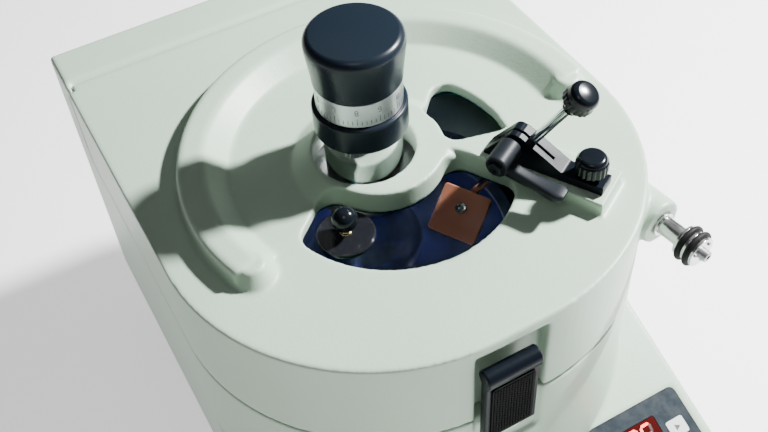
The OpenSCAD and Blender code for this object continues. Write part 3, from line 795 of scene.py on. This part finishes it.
class GRINDER_OT_scraper(GrinderOperator, bpy.types.Operator):
    """Builds the scraper, its clamp block, lever and knobs"""
    bl_idname = "grinder.scraper"
    bl_label = "Scraper and clamp"

    def execute(self, context):
        edge = self.sizes.edge
        count = self.sizes.flutes
        rod = [(0, -ROD_TAIL), (3, -ROD_TAIL), (3, ROD_HEAD), (0, ROD_HEAD)]
        piece(
            "scraper_spindle", lathe(bmesh.new(), rod, ROD, 48), "chrome", "scraper",
            ("scraper_rod",), 0.4)
        knob = [(0, 40), (5, 40), (5.2, 42), (8.2, 45.6)] + arc(8.6, 47.6, 1.2, -60, 0, 4)
        knob += [(9.8, 50.6), (9.4, 51.4), (9.2, 52)]
        knob += arc(5.2, 54.6, 4.0, -10, 80, 10) + [(3, 58.9), (0, 59)]
        piece(
            "spindle_knob", lathe(bmesh.new(), knob, ROD, 192, flutes(count + 4, 0.5, 45, 51)),
            "gloss", "scraper", ("rod_knob",))
        self.block(edge)
        self.lever(edge)
        centre = middle("thumb_knob")
        thumb = at(centre.x, centre.y, THUMB_Z)
        profile = [(0, 0), (5, 0), (5, 4)] + arc(8.8, 5.2, 1.2, -90, 0, 4)
        profile += [(10, 11)] + arc(8.6, 11.6, 1.2, 0, 50, 3)
        profile += [(9.0, 12.9)] + arc(5.6, 12.4, 3.4, 10, 84, 7) + [(3, 16.0), (0, 16.1)]
        piece(
            "thumb_screw", lathe(bmesh.new(), profile, thumb, 192, flutes(count + 4, 0.7, 4, 12)),
            "gloss", "thumb", ("thumb_knob",))
        self.blade()
        return {"FINISHED"}

    def block(self, edge):
        """The slit clamp block."""
        turn = at(*BLOCK_SPOT) @ spin(SCRAPER_TURN, "Z") @ spin(90, "X")
        side = [(56, 319), (56, 325), (31, 325), (28.8, 325.6), (1.6, 342)]
        side += arc(-2.4, 337.4, 5.2, 62, 136, 6)
        side += [(-21.6, 321.6), (-22, 321), (-22, 319)]
        slit = prism(bmesh.new(), [(-30, 322), (22, 322), (22, 350), (-30, 350)], -0.6, 0.6, turn)
        bm = cut(prism(bmesh.new(), side[::-1], -8, 5.5, turn), slit)
        outline = [
            (83.2, -95.2), (110, -79.4), (76.5, -19.5), (61, -13), (47, -11.5), (41.5, -18)]
        pad = prism(bmesh.new(), outline, 309, 318.97)
        piece("clamp_pad", pad, "shell", "lid", (), 0.9)
        piece("clamp_body", bm, "black", "lid", ("scraper_block",), edge * 1.4)

    def lever(self, edge):
        """Hub and curved arm of the clamp lever."""
        pivot = at(*LEVER_HUB) @ spin(LEVER_TURN, "Z")
        hub = pivot @ spin(90, "Y")
        drum = [(0, 7), (6.6, 7), (7.5, 8.2), (7.5, 25.6), (6.6, 27.2)]
        drum += [(4.6, 27.2), (4.6, 26.4), (0, 26.4)]
        bm = lathe(bmesh.new(), drum, hub, 64)
        lathe(
            bm,
            [(0, 26.4), (4.3, 26.4), (4.3, 29.4), (3.6, 30), (1.8, 30), (1.8, 28.6), (0, 28.6)],
            hub, 6)
        arm = pivot @ at(21.5, 0, 0) @ spin(90, "Z") @ spin(LEVER_DROOP, "Y")
        rings = []
        length = 43
        steps = 14
        sides = 20
        for i in range(steps + 1):
            part = i / steps
            x = length * part
            wide = 5.6 - 1.6 * math.sin(math.pi * min(1, part * 1.15)) + 0.6 * part
            tall = 4.2 - 1.0 * part
            if i == steps:
                wide, tall = wide * 0.72, tall * 0.7
            drop = -2.2 * math.sin(math.pi * part)
            ring = []
            for k in range(sides):
                turn = 2 * math.pi * k / sides
                c, s = math.cos(turn), math.sin(turn)
                y = wide * math.copysign(abs(c) ** 0.6, c)
                z = tall * math.copysign(abs(s) ** 0.6, s) + drop
                ring.append(bm.verts.new((arm @ Vector((x, y, z))) * MM))
            rings.append(ring)
        for a, b in zip(rings, rings[1:]):
            for k in range(sides):
                j = (k + 1) % sides
                bm.faces.new((a[k], a[j], b[j], b[k]))
        bm.faces.new(list(reversed(rings[0])))
        bm.faces.new(rings[-1])
        piece("lever_casting", bm, "graphite", "lever", ("clamp_lever",), edge)

    def blade(self):
        """Resin blade, its holder and screw."""
        stand = at(*BLADE_FACE) @ spin(SCRAPER_TURN, "Z") @ spin(BLADE_TILT, "X")
        bm = prism(bmesh.new(), rounded(34, 32.5, 2.5, 0, -3.75), -4, 0, stand)
        piece("resin_blade", bm, "resin", "scraper", ("scraper_blade",), 0.6)
        holder = prism(bmesh.new(), rounded(18, 17, 2.5, 0, 3.5), -15, -4.05, stand)
        piece(
            "blade_holder", holder, "black", "scraper", ("scraper_holder",), 0.8)
        screw = lathe(
            bmesh.new(),
            [(0, 0), (4, 0), (4, 1), (3.4, 1.8), (2.6, 2), (1.5, 2), (1.5, 1), (0, 1)], stand, 48)
        piece("blade_fixing", screw, "steel", "scraper", ("blade_screw",), 0.2)


class GRINDER_OT_adjuster(GrinderOperator, bpy.types.Operator):
    """Builds the side adjuster shaft, its rings and screw"""
    bl_idname = "grinder.adjuster"
    bl_label = "Side adjuster"

    def execute(self, context):
        shaft = [
            (0, -34), (6.2, -34), (6.2, 14.4), (8, 14.4), (8, 15.9), (6.2, 15.9), (6.2, 31),
            (10, 31), (10, 33), (8.2, 33.4)]
        shaft += [
            (8.2, 36.6), (10, 37), (10, 39), (8.2, 39.4), (8.2, 42.6), (10, 43), (10, 45),
            (3.8, 45), (3.2, 44.4), (3.2, 41), (0, 41)]
        piece(
            "adjuster_spindle", lathe(bmesh.new(), shaft, ADJUSTER, 96), "steel", "adjuster",
            ("adjuster_shaft",), 0.25)
        rings = bmesh.new()
        for height in (35, 41):
            lathe(rings, arc(10.2, height, 1.9, 0, 345, 23), ADJUSTER, 96)
        piece("sealing_rings", rings, "rubber", "adjuster", ("adjuster_rings",))
        socket = [
            (0, 41), (3, 41), (3, 45), (3.6, 45), (3.6, 49.4), (3.1, 50), (1.7, 50), (1.7, 47.5),
            (0, 47.5)]
        screw = lathe(bmesh.new(), socket, ADJUSTER, 48)
        for k in range(3):
            spot = ADJUSTER @ spin(120 * k + 40, "Z") @ at(6.8, 0, 0)
            lathe(
                screw, [(0, 44.8), (1.1, 44.8), (1.1, 45.8), (0.6, 45.8), (0.6, 45.4), (0, 45.4)],
                spot, 20)
        piece("end_screws", screw, "alloy", "adjuster", ("adjuster_screw",), 0.1)
        return {"FINISHED"}


class GRINDER_OT_latch(GrinderOperator, bpy.types.Operator):
    """Builds the front latch and its grip pad"""
    bl_idname = "grinder.latch"
    bl_label = "Front latch"

    def execute(self, context):
        low, high = (Vector(c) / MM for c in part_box("latch_lever"))
        x = (low.x + high.x) / 2
        bm = bmesh.new()
        side = [(LATCH_Y - 3, low.z), (LATCH_Y + 3, low.z + 2), (LATCH_Y + 3, 279)]
        side += arc(LATCH_Y, LATCH_Z, 6, -10, 180, 10)
        side += [(LATCH_Y - 5.2, 280), (LATCH_Y - 3, 276)]
        lie = at(x, 0, 0) @ Matrix(((0, 0, 1, 0), (1, 0, 0, 0), (0, 1, 0, 0), (0, 0, 0, 1)))
        prism(bm, side[::-1], -18, 18, lie)
        piece("latch_arm", bm, "black", "latch", ("latch_lever",), 1.0)
        pad = bmesh.new()
        stand = at(x, LATCH_Y - 3, 0) @ spin(90, "X")
        prism(pad, rounded(29, 50, 2.5, 0, 251), 0, 1.2, stand)
        rows, columns, pitch = 24, 14, 1.95
        for row in range(rows):
            for column in range(columns):
                x_at = (column - (columns - 1) / 2) * pitch
                z_at = 228.5 + row * pitch
                prism(pad, rounded(1.3, 1.3, 0.3, x_at, z_at, 1), 1.1, 1.75, stand)
        piece("latch_grip", pad, "pad", "latch", ("latch_pad",), 0.0)
        dress("latch_plate", "steel")
        return {"FINISHED"}


class GRINDER_OT_controls(GrinderOperator, bpy.types.Operator):
    """Builds the keypad, display and keys"""
    bl_idname = "grinder.controls"
    bl_label = "Control panel"

    KEYS = ("start", "stop", "up", "down")

    def execute(self, context):
        keys = {name: PANEL.inverted() @ middle("key_" + name) for name in self.KEYS}
        shift = PANEL.inverted() @ middle("display_window")
        shift.z = 0
        screen = PANEL @ Matrix.Translation(shift)
        sheet = bmesh.new()
        self.film(sheet, -53, 47, -59.2, 26.8, 5.0, 0.06, 0.24, shift, keys)
        piece("keypad_border", sheet, "film_edge", "base", ())
        film = bmesh.new()
        self.film(film, -51.8, 45.8, -58.0, 25.6, 4.2, -0.2, 0.3, shift, keys)
        piece("keypad_film", film, "film", "base", ("keypad",))
        lens = prism(bmesh.new(), rounded(35.4, 20.4, 1.5), -0.9, 0.1, screen)
        piece("display_lens", lens, "lens", "base", ("display_window",), 0.15)
        numerals = bmesh.new()
        dim = bmesh.new()
        bar = (7.4, 14.4, 1.9)
        lean = 0.12
        for k, digit in enumerate("35"):
            spot = screen @ at(-4 + k * 11.5, 0, 0.12)
            segments(numerals, digit, *bar, 0.08, spot, None, lean)
            rest = [s for s in "abcdefg" if s not in SEGMENTS[digit]]
            segments(dim, digit, *bar, 0.05, spot, rest, lean)
        segments(dim, "8", *bar, 0.05, screen @ at(-14.6, 0, 0.12), "bc", lean)
        piece("display_numerals", numerals, "led", "base", ("display_digits",))
        piece("display_unlit", dim, "unlit", "base", ())
        for name, centre in keys.items():
            self.key(name, centre)
        return {"FINISHED"}

    def film(self, bm, x0, x1, y0, y1, radius, low, high, shift, keys):
        """A sheet with round corners, open at the display and keys."""
        outline = rounded(x1 - x0, y1 - y0, radius, (x0 + x1) / 2, (y0 + y1) / 2)
        holes = [rounded(36.2, 21.2, 1.8, shift.x, shift.y)] + [
            rounded(15.2, 13.2, 2.0, c.x, c.y) for c in keys.values()]
        for z in (low, high):
            edges = []
            for loop in [outline] + holes:
                verts = [bm.verts.new((PANEL @ Vector((x, y, z))) * MM) for x, y in loop]
                edges += [
                    bm.edges.new(
                        (verts[i], verts[(i + 1) % len(verts)])) for i in range(len(verts))
                ]
            bmesh.ops.triangle_fill(bm, edges=edges, use_beauty=True)
        bm.verts.ensure_lookup_table()
        half = len(bm.verts) // 2
        start = 0
        for loop in [outline] + holes:
            n = len(loop)
            for i in range(n):
                a, b = start + i, start + (i + 1) % n
                bm.faces.new((bm.verts[a], bm.verts[b], bm.verts[half + b], bm.verts[half + a]))
            start += n

    def key(self, name, centre):
        """One pillowed key with a plain symbol."""
        bm = prism(bmesh.new(), rounded(14.4, 12.4, 1.8, centre.x, centre.y), -6, 0.55, PANEL)
        piece("key_cap_" + name, bm, "key", name, ("key_" + name,), 0.25)
        sign = {
            "start": [(-1.8, -2.4), (2.4, 0), (-1.8, 2.4)],
            "stop": rounded(4, 4, 0.3),
            "up": [(-2.6, -1.6), (2.6, -1.6), (0, 2.4)],
            "down": [(-2.6, 1.6), (0, -2.4), (2.6, 1.6)],
        }[name]
        mark = prism(
            bmesh.new(), [(centre.x + x, centre.y + y) for x, y in sign], 0.55, 0.6, PANEL)
        piece("key_sign_" + name, mark, "ink", name, ())


class GRINDER_OT_windows(GrinderOperator, bpy.types.Operator):
    """Finishes the glass windows"""
    bl_idname = "grinder.windows"
    bl_label = "Windows"

    def execute(self, context):
        for node in ("window_front", "window_rear"):
            dress(node, "glass")
        return {"FINISHED"}


class GRINDER_OT_chassis(GrinderOperator, bpy.types.Operator):
    """Finishes the pan, feet, drive and connections"""
    bl_idname = "grinder.chassis"
    bl_label = "Chassis"

    FINISH = {
        "base_pan": "pan", "bearing_block": "alloy", "motor": "motor", "motor_plate": "steel",
        "drive_belt": "rubber", "motor_pulley": "alloy", "drive_shaft": "steel",
        "drive_pulley": "alloy", "control_board": "board", "inlet_socket": "black",
        "power_rocker": "black", "hinge_pin": "steel", "pestle_shaft": "steel",
    }

    def execute(self, context):
        for node, finish in self.FINISH.items():
            dress(node, finish)
        for name in ("front_left", "front_right", "rear_left", "rear_right"):
            centre = middle("foot_" + name)
            place = at(centre.x, centre.y, 0)
            foot = [(0, 1.2), (7, 1.2), (8, 0), (12.6, 0)] + arc(12.6, 1.4, 1.4, -80, 0, 4)
            foot += [(16, 19), (15.4, 20), (0, 20)]
            piece(
                "rubber_" + name, lathe(bmesh.new(), foot, place, 64), "rubber", "base",
                ("foot_" + name,), 0.3)
        pins = bmesh.new()
        inlet = middle("inlet_socket")
        for k in (-1, 0, 1):
            spot = at(inlet.x + 5.5 * k, 0, inlet.z + (2.2 if k == 0 else -1.5))
            prism(pins, rounded(1.6, 4.4, 0.3), -219, -213, spot @ spin(90, "X"))
        piece("inlet_blades", pins, "steel", "base", (), 0.15)
        return {"FINISHED"}


class GRINDER_OT_stage(GrinderOperator, bpy.types.Operator):
    """Builds the floor, the lights and the camera"""
    bl_idname = "grinder.stage"
    bl_label = "Studio"

    def execute(self, context):
        scene = context.scene
        material, tree, shader = blank("pale floor")
        marks = use(tree, grain_group, Grain_Scale=80.0)
        tree.links.new(
            blend_colour(tree, marks.outputs["Tone"], (0.93, 0.93, 0.93), (0.95, 0.95, 0.95)),
            shader.inputs["Base Color"])
        shader.inputs["Roughness"].default_value = 0.9
        shader.inputs["Emission Color"].default_value = (1, 1, 1, 1)
        shader.inputs["Emission Strength"].default_value = 0.8
        mesh = bpy.data.meshes.new("floor")
        reach = 24.0
        z = -0.0005
        corners = [(-reach, -reach, z), (reach, -reach, z), (reach, reach, z), (-reach, reach, z)]
        mesh.from_pydata(corners, [], [(0, 1, 2, 3)])
        floor = bpy.data.objects.new("floor", mesh)
        mesh.materials.append(material)
        context.collection.objects.link(floor)
        self.world(scene)
        self.lamp("key", (0.75, -0.07, 0.66), 1.5, 0.12, 112)
        self.lamp("soft_left", (-0.28, -0.42, 1.0), 1.5, 0.5, 2.2)
        self.lamp("soft_top", (0.1, 0.6, 1.2), 1.9, 1.4, 1.4)
        self.camera(scene)
        return {"FINISHED"}

    def world(self, scene):
        world = bpy.data.worlds.new("studio")
        scene.world = world
        world.use_nodes = True
        background = world.node_tree.nodes["Background"]
        background.inputs["Color"].default_value = (0.93, 0.96, 1.0, 1)
        background.inputs["Strength"].default_value = 0.055

    def lamp(self, name, direction, distance, size, power):
        data = bpy.data.lights.new(name, "AREA")
        data.shape = "DISK"
        data.size = size
        data.energy = power
        lamp = bpy.data.objects.new(name, data)
        bpy.context.collection.objects.link(lamp)
        target = Vector((0, 0, 0.28))
        aim = Vector(direction).normalized()
        lamp.location = target + aim * distance
        lamp.rotation_euler = aim.to_track_quat("Z", "Y").to_euler()

    def camera(self, scene):
        data = bpy.data.cameras.new("camera")
        data.sensor_width = 36
        data.lens = 48.83
        data.clip_end = 50
        camera = bpy.data.objects.new("camera", data)
        bpy.context.collection.objects.link(camera)
        azimuth, below, roll = math.radians(25.83), math.radians(48.34), math.radians(-4.42)
        flat = math.cos(below)
        look = Vector((math.sin(azimuth) * flat, math.cos(azimuth) * flat, -math.sin(below)))
        right = look.cross(UP).normalized()
        upward = right.cross(look)
        side = right * math.cos(roll) + upward * math.sin(roll)
        top = upward * math.cos(roll) - right * math.sin(roll)
        turn = Matrix((side, top, -look)).transposed().to_4x4()
        camera.matrix_world = at(-0.2061, -0.4002, 0.7750) @ turn
        scene.camera = camera


class GRINDER_PT_panel(bpy.types.Panel):
    """Lists the building steps"""
    bl_idname = "GRINDER_PT_panel"
    bl_label = "Bench grinder"
    bl_space_type = "VIEW_3D"
    bl_region_type = "UI"
    bl_category = "Grinder"

    def draw(self, context):
        for label in ("lid_grid", "housing_grid", "edge", "flutes", "marks"):
            self.layout.prop(context.scene.grinder_sizes, label)
        for label in ("shell", "black", "knob", "film", "resin"):
            self.layout.prop(context.scene.grinder_colours, label)
        for step in STEPS:
            self.layout.operator(step.bl_idname)


STEPS = (
    GRINDER_OT_finishes, GRINDER_OT_stage, GRINDER_OT_mouldings, GRINDER_OT_tower,
    GRINDER_OT_grinding, GRINDER_OT_plug, GRINDER_OT_scraper, GRINDER_OT_adjuster,
    GRINDER_OT_latch, GRINDER_OT_controls, GRINDER_OT_windows, GRINDER_OT_chassis,
)
CLASSES = (GrinderSizes, GrinderColours, *STEPS, GRINDER_PT_panel)


def register():
    for cls in CLASSES:
        bpy.utils.register_class(cls)
    bpy.types.Scene.grinder_sizes = PointerProperty(type=GrinderSizes)
    bpy.types.Scene.grinder_colours = PointerProperty(type=GrinderColours)


def unregister():
    del bpy.types.Scene.grinder_colours
    del bpy.types.Scene.grinder_sizes
    for cls in reversed(CLASSES):
        bpy.utils.unregister_class(cls)


def main():
    register()
    for step in STEPS:
        getattr(bpy.ops.grinder, step.bl_idname.split(".")[1])()


if __name__ == "__main__":
    main()
